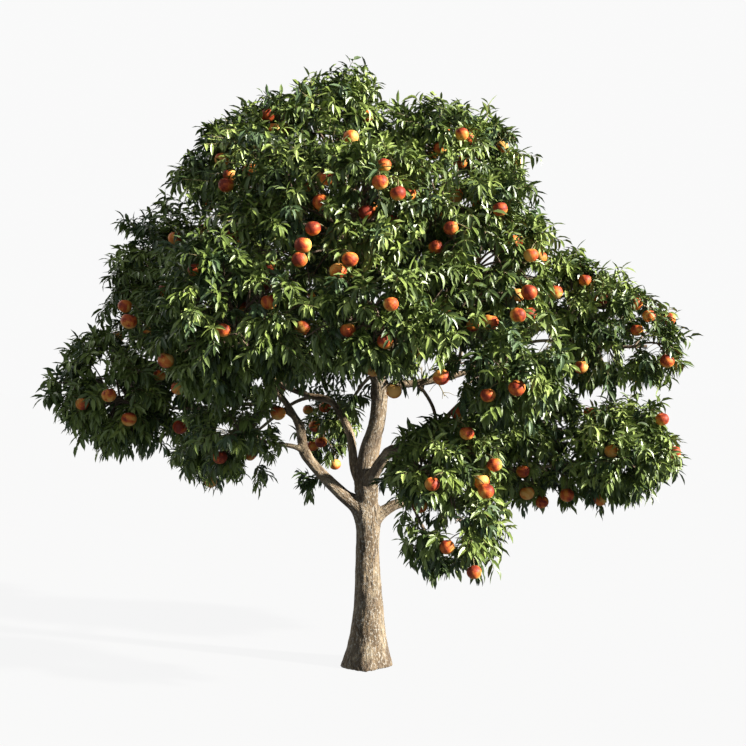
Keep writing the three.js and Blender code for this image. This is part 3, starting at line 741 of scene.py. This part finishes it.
def peach_shape():
    """One peach round the origin, with its groove and the hollow at its stalk: (places, triangles)."""
    down = np.linspace(0, math.pi, PEACH_ROWS + 1)[1:-1, None]
    around = round_angles(PEACH_COLUMNS)[None]
    turn = np.minimum(around, 2 * math.pi - around)
    groove = GROOVE.depth * np.exp(-((turn / GROOVE.width) ** 2)) * np.sqrt(np.sin(down))
    radius = PEACH_RADIUS * (1 - groove)
    hollow = HOLLOW.depth * np.exp(-((down / HOLLOW.width) ** 2)) * PEACH_RADIUS
    across = radius * np.sin(down)
    x = across * np.cos(around)
    y = across * np.sin(around)
    z = radius * np.cos(down) * PEACH_HEIGHT - hollow
    body = np.stack([x, y, z], axis=-1).reshape(-1, 3)
    top = (0, 0, PEACH_RADIUS * (PEACH_HEIGHT - HOLLOW.depth))
    bottom = (0, 0, -PEACH_RADIUS * PEACH_HEIGHT)
    places = np.vstack([body, top, bottom])
    rows = PEACH_ROWS - 2
    sides = ring_faces(PEACH_COLUMNS, rows)[:, ::-1]
    cap = fan(len(body), PEACH_COLUMNS, 0)
    tip = fan(len(body) + 1, PEACH_COLUMNS, rows)[:, ::-1]
    return places, np.concatenate([sides, cap, tip])


def turn_matrix(random):
    """A random turn about the vertical, then a tilt."""
    yaw, way = random.uniform(0, 2 * math.pi, 2)
    tilt = random.uniform(0, PEACH_TILT)
    axis = Vector((math.cos(way), math.sin(way), 0))
    return np.array(Matrix.Rotation(tilt, 3, axis) @ Matrix.Rotation(yaw, 3, "Z"))


def grow_peaches(index, centres):
    """The peaches of a mass, as (places, triangles, blush step of each triangle)."""
    random = np.random.default_rng(PEACH_SEED + index)
    shape, triangles = peach_shape()
    parts = []
    for centre in centres:
        turn = turn_matrix(random)
        size = random.uniform(*PEACH_SIZES)
        outward = unit(centre - HEARTS[index])
        sunny = unit(random.normal(size=3) + outward * SUNNY_OUT + UP * SUNNY_UP)
        places = shape @ turn.T * size
        faces = unit(places[triangles].mean(axis=1))
        waves = random.normal(size=(BLUSH_WAVES, 3)) * BLUSH_WAVE_SIZE
        phases = random.uniform(0, 2 * math.pi, BLUSH_WAVES)
        mottle = np.sin(faces @ waves.T + phases).mean(axis=1)
        blush = BLUSH + BLUSH_TURN * faces @ sunny + BLUSH_MOTTLE * mottle
        blush += random.uniform(*BLUSH_SPREAD)
        step = np.clip((blush * len(PEACH_COLOURS)).astype(int), 0, len(PEACH_COLOURS) - 1)
        parts.append((places + centre, triangles, step))
    return joined(parts)


# ---- Bark

VOXEL = 0.006
FORK_FILLET = 0.045  # how far from a fork the surfaces swell towards each other
FILLET_RADII = 1.2  # the most that this is, over the limb's radius
FILLET_SWELL = 0.25  # how high the swelling is in the fork, over its length
BARK_APART = 3  # metres between the bark coordinates of one limb and the next
SMOOTH_RADIUS = 0.014  # up to here a limb has no pale flakes
ROUGH_RADIUS = 0.042  # from here on it has all of them
LUMP_HEIGHT = 0.0028
LUMPS_A_METRE = (14, 7)  # across and along
RIDGE_HEIGHT = 0.0024
RIDGES_A_METRE = (52, 9)
RIDGE_LEVEL = 0.6  # where a ridge crosses the limb's plain surface, its crest being at 1
FULL_RELIEF_RADIUS = 0.05  # thinner limbs have less of it


def limb_tube(limb):
    """The closed tube of a limb, as (places, triangles, number of its material)."""
    radii = limb.radius_at(limb.shares[:, None], round_angles(LIMB_SIDES))
    outwards = rims(limb.normals, limb.binormals, LIMB_SIDES)
    places = (limb.places[:, None] + outwards * radii[..., None]).reshape(-1, 3)
    sides = ring_faces(LIMB_SIDES, LIMB_STEPS - 1)
    foot = fan(len(places), LIMB_SIDES, 0)[:, ::-1]
    tip = fan(len(places) + 1, LIMB_SIDES, LIMB_STEPS - 1)
    places = np.vstack([places, limb.places[0], limb.places[-1]])
    return places, np.concatenate([sides, foot, tip]), 0


def nearest_limbs(places, limbs):
    """For each place: bark coordinates on its nearest limb, that limb's radius there, and how much
    further off the next limb's surface is."""
    best = np.full(len(places), np.inf)
    second = np.full(len(places), np.inf)
    bark = np.zeros((len(places), 3))
    radius = np.zeros(len(places))
    for number, limb in enumerate(limbs.values()):
        away = length_of(places[:, None] - limb.places) - limb.radii
        step = away.argmin(axis=1)
        far = away.min(axis=1)
        closer = far < best
        second = np.where(closer, best, np.minimum(second, far))
        best = np.where(closer, far, best)
        offset = places - limb.places[step]
        along = limb.shares[step] * limb.length + (offset * limb.tangents[step]).sum(1)
        along += BARK_APART * number
        across = (offset * limb.normals[step]).sum(1)
        beyond = (offset * limb.binormals[step]).sum(1)
        bark[closer] = np.stack([across, beyond, along], axis=1)[closer]
        radius[closer] = limb.radii[step][closer]
    return bark, radius, second - best


def relief(bark, radius):
    """Height of the bark at bark coordinates: broad lumps and long upright ridges."""
    heights = np.empty(len(bark))
    strength = np.minimum(1, radius / FULL_RELIEF_RADIUS)
    (broad, tall), (fine, long) = LUMPS_A_METRE, RIDGES_A_METRE
    for i, (x, y, z) in enumerate(bark):
        lumps = noise.noise(Vector((x * broad, y * broad, z * tall)))
        ridges = 1 - 2 * abs(noise.noise(Vector((x * fine, y * fine, z * long))))
        heights[i] = LUMP_HEIGHT * lumps + RIDGE_HEIGHT * (ridges - RIDGE_LEVEL)
    return heights * strength


def skin_over(limbs, material):
    """One plain mesh round the trunk and all boughs."""
    rough = mesh_piece("bark_form", *joined(map(limb_tube, limbs.values())), [material])
    remesh = rough.modifiers.new("skin", "REMESH")
    remesh.mode = "VOXEL"
    remesh.voxel_size = VOXEL
    remesh.use_smooth_shade = True
    shown = rough.evaluated_get(bpy.context.evaluated_depsgraph_get())
    mesh = bpy.data.meshes.new_from_object(shown)
    bpy.data.objects.remove(rough)
    mesh.name = "bark"
    return mesh


def vectors_of(vertices, name):
    """The places or normals of all vertices."""
    values = np.empty(len(vertices) * 3, np.float32)
    vertices.foreach_get(name, values)
    return values.reshape(-1, 3)


def make_bark(limbs, material):
    """One skin over the trunk and all boughs, with filled forks and the bark's relief."""
    mesh = skin_over(limbs, material)
    places = vectors_of(mesh.vertices, "co").astype(float)
    bark, radius, between = nearest_limbs(places, limbs)
    fillet = np.minimum(FORK_FILLET, radius * FILLET_RADII)
    swell = fillet * FILLET_SWELL * np.clip(1 - between / fillet, 0, 1) ** 2
    places += vectors_of(mesh.vertices, "normal") * (swell + relief(bark, radius))[:, None]
    places[:, 2] = np.maximum(places[:, 2], 0)
    mesh.vertices.foreach_set("co", places.ravel())
    mesh.attributes.new("bark_place", "FLOAT_VECTOR", "POINT").data.foreach_set("vector", bark.ravel())
    girth = np.clip((radius - SMOOTH_RADIUS) / (ROUGH_RADIUS - SMOOTH_RADIUS), 0, 1)
    mesh.attributes.new("girth", "FLOAT", "POINT").data.foreach_set("value", girth)
    mesh.update()
    return linked(mesh)


# ---- Materials

LEAF_COLOURS = [
    (0.04, 0.066, 0.016),
    (0.078, 0.114, 0.024),
    (0.126, 0.174, 0.037),
    (0.188, 0.245, 0.055),
    (0.25, 0.315, 0.085),
    (0.066, 0.108, 0.042),
]
LEAF_DEAL = (0.16, 0.24, 0.24, 0.18, 0.08, 0.1)  # how often a spray is dealt each
TWIG_COLOURS = {"twig_bark": (0.14, 0.095, 0.06), "shoot_bark": (0.16, 0.13, 0.05)}

# How strongly a skin mirrors, its roughness from one end of a noise to the other, and the height and
# the strength of its bump. A grain is the scale of that noise.
Skin = namedtuple("Skin", "specular roughness bump strength")
LEAF_SKIN = Skin(0.5, (0.32, 0.52), 0.0006, 0.6)
PEACH_SKIN = Skin(0.2, (0.42, 0.66), 0.0006, 0.6)
TWIG_SKIN = Skin(0.5, (0.6, 0.85), 0.001, 0.6)
BARK_SKIN = Skin(0.25, (0.95, 0.72), 0.008, 0.9)
LEAF_GRAIN = 220.0
PEACH_GRAIN = 260.0
TWIG_GRAIN = 160.0
GRAIN_DETAIL = 3.0

# The bark's noises: scale, detail, roughness, and a stretch that below 1 draws them out along a limb.
BARK_NOISES = {
    "patches": (17.0, 4.0, 0.6, 0.45),
    "streaks": (85.0, 4.0, 0.65, 0.2),
    "flakes": (105.0, 3.0, 0.6, 0.7),
    "cracks": (95.0, 2.0, 0.5, 0.16),
    "stains": (11.0, 5.0, 0.65, 0.7),
}
# What is laid over the ground colour: where in its noise it starts and is full, how much of it there
# is at most, and its colour.
Cover = namedtuple("Cover", "low high most colour")
FLAKES = Cover(0.53, 0.62, 0.85, (0.44, 0.4, 0.335, 1))
CRACKS = Cover(0.6, 0.7, 0.7, (0.05, 0.033, 0.022, 1))
STAINS = Cover(0.52, 0.6, 0.66, (0.09, 0.06, 0.038, 1))
STREAK_SHARE = 0.85
# Painted shade: the thick limbs stand in full sun, and this darkens them so that they come nearer the
# shaded boughs.
THICK_LIMB_PAINTED_SHADE = (0.68, 0.68, 0.68, 1)  # what the thick limbs' colour is multiplied by

# Stops of colour ramps: the bark's ground colour, and what its streaks multiply that by.
GROUND_STOPS = [(0.34, (0.13, 0.09, 0.052)), (0.5, (0.245, 0.183, 0.117)), (0.66, (0.35, 0.285, 0.195))]
STREAK_STOPS = [(0.34, (0.4, 0.36, 0.32)), (0.5, (0.95, 0.93, 0.9)), (0.66, (1.4, 1.36, 1.28))]

PEACH_COLOURS = [
    (0.66, 0.35, 0.095),
    (0.62, 0.28, 0.06),
    (0.6, 0.2, 0.035),
    (0.54, 0.135, 0.025),
    (0.44, 0.08, 0.02),
    (0.31, 0.045, 0.016),
    (0.19, 0.026, 0.013),
]


def fill(node, inputs):
    """Sets a shader node's inputs to values, or links them to other nodes' outputs."""
    for name, value in inputs.items():
        if isinstance(value, bpy.types.NodeSocket):
            node.id_data.links.new(value, node.inputs[name])
        else:
            node.inputs[name].default_value = value


def add_node(tree, kind, inputs, **settings):
    """A shader node with its settings and its inputs."""
    made = tree.nodes.new(kind)
    for name, value in settings.items():
        setattr(made, name, value)
    fill(made, inputs)
    return made


def new_material(name):
    """An empty material: its node tree and its surface shader."""
    material = bpy.data.materials.new(name)
    material.use_nodes = True
    tree = material.node_tree
    return material, tree, tree.nodes["Principled BSDF"]


def spread(tree, value, low, high):
    """A value from 0 to 1 spread over another range."""
    return add_node(tree, "ShaderNodeMapRange", {"Value": value, "To Min": low, "To Max": high}).outputs[0]


def set_skin(tree, shader, skin, uneven, height):
    """Gives a shader a skin, with its roughness from one value and its bump from another."""
    bump = {"Height": height, "Distance": skin.bump, "Strength": skin.strength}
    fill(shader, {
        "Specular IOR Level": skin.specular,
        "Roughness": spread(tree, uneven, *skin.roughness),
        "Normal": add_node(tree, "ShaderNodeBump", bump).outputs[0],
    })


def plain_material(name, colour, skin, scale):
    """One colour, with a fine grain in its skin."""
    material, tree, shader = new_material(name)
    place = add_node(tree, "ShaderNodeTexCoord", {}).outputs["Object"]
    drawn = {"Vector": place, "Scale": scale, "Detail": GRAIN_DETAIL}
    grain = add_node(tree, "ShaderNodeTexNoise", drawn).outputs[0]
    set_skin(tree, shader, skin, grain, grain)
    fill(shader, {"Base Color": (*colour, 1)})
    return material


def plain_materials(kind, colours, skin, scale):
    """A numbered material for each colour of one kind."""
    return [plain_material(f"{kind}_{i}", colour, skin, scale) for i, colour in enumerate(colours)]


def ramp_of(tree, value, stops):
    """A colour ramp through (position, colour) stops."""
    ramp = add_node(tree, "ShaderNodeValToRGB", {"Fac": value})
    elements = ramp.color_ramp.elements
    while len(elements) < len(stops):
        elements.new(1.0)
    for element, (position, colour) in zip(elements, stops):
        element.position = position
        element.color = (*colour, 1)
    return ramp.outputs[0]


def noise_of(tree, place, scale, detail, roughness, stretch):
    """Noise at a place on the bark, drawn out along the limb."""
    drawn = add_node(tree, "ShaderNodeMapping", {"Vector": place, "Scale": (1, 1, stretch)}).outputs[0]
    return add_node(
        tree, "ShaderNodeTexNoise",
        {"Vector": drawn, "Scale": scale, "Detail": detail, "Roughness": roughness},
    ).outputs[0]


def layer(tree, amount, below, above, blend="MIX"):
    """One colour laid over another."""
    return add_node(
        tree, "ShaderNodeMixRGB", {"Fac": amount, "Color1": below, "Color2": above}, blend_type=blend
    ).outputs[0]


def amount_of(tree, value, cover):
    """How much of a cover a noise gives: none below low, and most above high."""
    limits = {"From Min": cover.low, "From Max": cover.high, "To Min": 0.0, "To Max": cover.most}
    return add_node(tree, "ShaderNodeMapRange", {"Value": value, **limits}).outputs[0]


def bark_material():
    """Tan and brown bark in upright patches, with pale flakes on the thick limbs, cracks, stains, and
    painted shade that darkens the thick limbs.
    """
    material, tree, shader = new_material("bark")
    place = add_node(tree, "ShaderNodeAttribute", {}, attribute_name="bark_place").outputs["Vector"]
    girth = add_node(tree, "ShaderNodeAttribute", {}, attribute_name="girth").outputs["Fac"]
    noises = {name: noise_of(tree, place, *way) for name, way in BARK_NOISES.items()}
    ground = ramp_of(tree, noises["patches"], GROUND_STOPS)
    tone = ramp_of(tree, noises["streaks"], STREAK_STOPS)
    streaked = layer(tree, STREAK_SHARE, ground, tone, "MULTIPLY")
    pale = amount_of(tree, noises["flakes"], FLAKES)
    thick = add_node(tree, "ShaderNodeMath", {0: pale, 1: girth}, operation="MULTIPLY").outputs[0]
    flaked = layer(tree, thick, streaked, FLAKES.colour)
    cracked = layer(tree, amount_of(tree, noises["cracks"], CRACKS), flaked, CRACKS.colour)
    stained = layer(tree, amount_of(tree, noises["stains"], STAINS), cracked, STAINS.colour)
    # painted shade: the colour is darkened more the thicker the limb
    painted_shade_on_thick = layer(tree, girth, stained, THICK_LIMB_PAINTED_SHADE, "MULTIPLY")
    fill(shader, {"Base Color": painted_shade_on_thick})
    both = {0: noises["streaks"], 1: noises["flakes"]}
    rough = add_node(tree, "ShaderNodeMath", both, operation="ADD").outputs[0]
    set_skin(tree, shader, BARK_SKIN, noises["streaks"], rough)
    return material


# ---- Pieces


def linked(data):
    """An object in the scene for a mesh, a lamp or a lens, under the same name."""
    made = bpy.data.objects.new(data.name, data)
    bpy.context.collection.objects.link(made)
    return made


def mesh_piece(name, places, triangles, steps, materials):
    """A smooth mesh object from arrays. steps gives the number of each triangle's material."""
    mesh = bpy.data.meshes.new(name)
    mesh.vertices.add(len(places))
    mesh.vertices.foreach_set("co", places.ravel().astype(np.float32))
    mesh.loops.add(triangles.size)
    mesh.loops.foreach_set("vertex_index", triangles.ravel().astype(np.int32))
    mesh.polygons.add(len(triangles))
    mesh.polygons.foreach_set("loop_start", np.arange(0, triangles.size, 3, dtype=np.int32))
    mesh.polygons.foreach_set("material_index", steps.astype(np.int32))
    mesh.polygons.foreach_set("use_smooth", np.ones(len(triangles), bool))
    for material in materials:
        mesh.materials.append(material)
    mesh.update(calc_edges=True)
    return linked(mesh)


def dress(piece, slot, *nodes):
    """Puts a piece on the tree's body in place of CAD nodes."""
    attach(piece, "root")
    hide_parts(*nodes)


def foliage_piece(kind, name, arrays, materials):
    """All twigs, leaves or peaches of one mass, in place of its CAD node."""
    dress(mesh_piece(f"{kind}_{name}", *arrays, materials), "foliage", name + "_foliage")


def grow_mass(index, limbs, feeder, peaches, obstacles, materials):
    """The twigs, leaves and peaches of one mass."""
    name = NAMES[index]
    random = np.random.default_rng(SPRAY_SEED + index)
    stem = make_stem(index, feeder)
    orders = grow_twigs(index, stem, obstacles)
    spray_twigs, spray_shoots = grow_sprays(name, limbs, obstacles, random)
    orders[-1] = np.concatenate([orders[-1], *spray_shoots])
    mine = peaches[measures(peaches).argmin(axis=1) == index]
    parts = [tubes(stem[None], (feeder.at(1.0)[2], STEM_TIP_RADIUS), STEM_FACETS, 0)]
    for order, controls in zip(ORDERS, orders):
        parts.append(tubes(controls, order.radii, order.facets, order.skin))
    if spray_twigs:
        parts.append(tubes(np.array(spray_twigs), SPRAY_RADII, SPRAY_FACETS, 1))
    if len(mine):
        bearers = np.concatenate([stem[None], *orders])
        stalks = twig_controls(bearers, mine + UP * PEACH_RADIUS * STALK_END, random)
        parts.append(tubes(stalks, PEACH_TWIG_RADII, STALK_FACETS, 1))
        foliage_piece("peaches", name, grow_peaches(index, mine), materials["peach"])
    foliage_piece("twigs", name, joined(parts), materials["twig"])
    blades, triangles, shoot = grow_leaves(index, orders[-1], obstacles)
    deal = random.choice(len(LEAF_COLOURS), len(orders[-1]), p=LEAF_DEAL)
    foliage_piece("leaves", name, (blades, triangles, deal[shoot]), materials["leaf"])


def grow_tree():
    """All pieces of the tree."""
    materials = {
        "leaf": plain_materials("leaf", LEAF_COLOURS, LEAF_SKIN, LEAF_GRAIN),
        "peach": plain_materials("peach", PEACH_COLOURS, PEACH_SKIN, PEACH_GRAIN),
        "twig": [plain_material(name, c, TWIG_SKIN, TWIG_GRAIN) for name, c in TWIG_COLOURS.items()],
    }
    limbs, feeders = make_limbs()
    bark = make_bark(limbs, bark_material())
    dress(bark, "bark", *limbs)
    peaches = place_peaches(limbs)
    obstacles = all_obstacles(limbs, peaches)
    for index, name in enumerate(NAMES):
        feeder = limbs[feeders[name]]
        grow_mass(index, limbs, feeder, peaches, obstacles.near(index), materials)


# ---- Floor, light and camera

FLOOR_SIDE = 120.0
FLOOR_SHADE = 0.02  # how much of its light the floor takes from the lamps
BACKDROP = 0.95
SKY_COLOUR = (0.78, 0.89, 1.0)
SKY_STRENGTH = 0.27

# Distant lamps: the way towards each, its strength, its width in degrees and its colour.
Lamp = namedtuple("Lamp", "way strength width colour")
LAMPS = {
    "sun": Lamp(Vector((0.84, -0.3, 0.37)), 15.0, 2.5, (1.0, 0.965, 0.9)),
    "fill": Lamp(Vector((-0.25, -0.9, 0.25)), 0.33, 60, (0.9, 0.96, 1.0)),
    "back_fill": Lamp(Vector((-0.75, 0.6, 0.35)), 1.4, 60, (1.0, 0.97, 0.92)),
}


def make_floor():
    """A plain pale floor, partly bright of itself, so that the tree's shadow on it is soft."""
    mesh = bpy.data.meshes.new("floor")
    far = FLOOR_SIDE / 2
    corners_of_floor = [(-far, -far, 0), (far, -far, 0), (far, far, 0), (-far, far, 0)]
    mesh.from_pydata(corners_of_floor, [], [(0, 1, 2, 3)])
    floor = linked(mesh)
    material, _, shader = new_material("floor")
    lamps = sum(lamp.strength * lamp.way.normalized().z for lamp in LAMPS.values())
    lit = FLOOR_SHADE * (lamps / math.pi + SKY_STRENGTH)
    fill(shader, {
        "Base Color": (FLOOR_SHADE, FLOOR_SHADE, FLOOR_SHADE, 1),
        "Emission Color": (1, 1, 1, 1),
        "Emission Strength": BACKDROP - lit,
        "Specular IOR Level": 0.0,
    })
    mesh.materials.append(material)
    floor.visible_diffuse = False
    floor.visible_glossy = False


def make_lamp(name, plan):
    """A distant lamp."""
    lamp = bpy.data.lights.new(name, "SUN")
    lamp.energy = plan.strength
    lamp.angle = math.radians(plan.width)
    lamp.color = plan.colour
    linked(lamp).rotation_euler = plan.way.to_track_quat("Z", "Y").to_euler()


def make_light():
    """A sun on the right, soft fills from the front and the back, a pale sky and a white backdrop."""
    for name, plan in LAMPS.items():
        make_lamp(name, plan)
    world = bpy.data.worlds.new("studio")
    world.use_nodes = True
    bpy.context.scene.world = world
    tree = world.node_tree
    sky = tree.nodes["Background"]
    fill(sky, {"Color": (*SKY_COLOUR, 1), "Strength": SKY_STRENGTH})
    backdrop = add_node(tree, "ShaderNodeBackground", {"Color": (1, 1, 1, 1), "Strength": BACKDROP})
    seen = add_node(tree, "ShaderNodeLightPath", {}).outputs["Is Camera Ray"]
    both = add_node(tree, "ShaderNodeMixShader", {0: seen, 1: sky.outputs[0], 2: backdrop.outputs[0]})
    fill(tree.nodes["World Output"], {"Surface": both.outputs[0]})


def make_camera():
    """The camera at the photo's viewing angle: level, looking along +Y."""
    lens = bpy.data.cameras.new("camera")
    lens.sensor_width = SENSOR_WIDTH
    lens.lens = FOCAL_LENGTH / PICTURE_SIDE * SENSOR_WIDTH
    camera = linked(lens)
    camera.location = CAMERA_PLACE
    camera.rotation_euler = (math.pi / 2, 0, 0)
    bpy.context.scene.camera = camera


bpy.context.scene.view_settings.view_transform = "Standard"
make_camera()
make_light()
make_floor()
grow_tree()
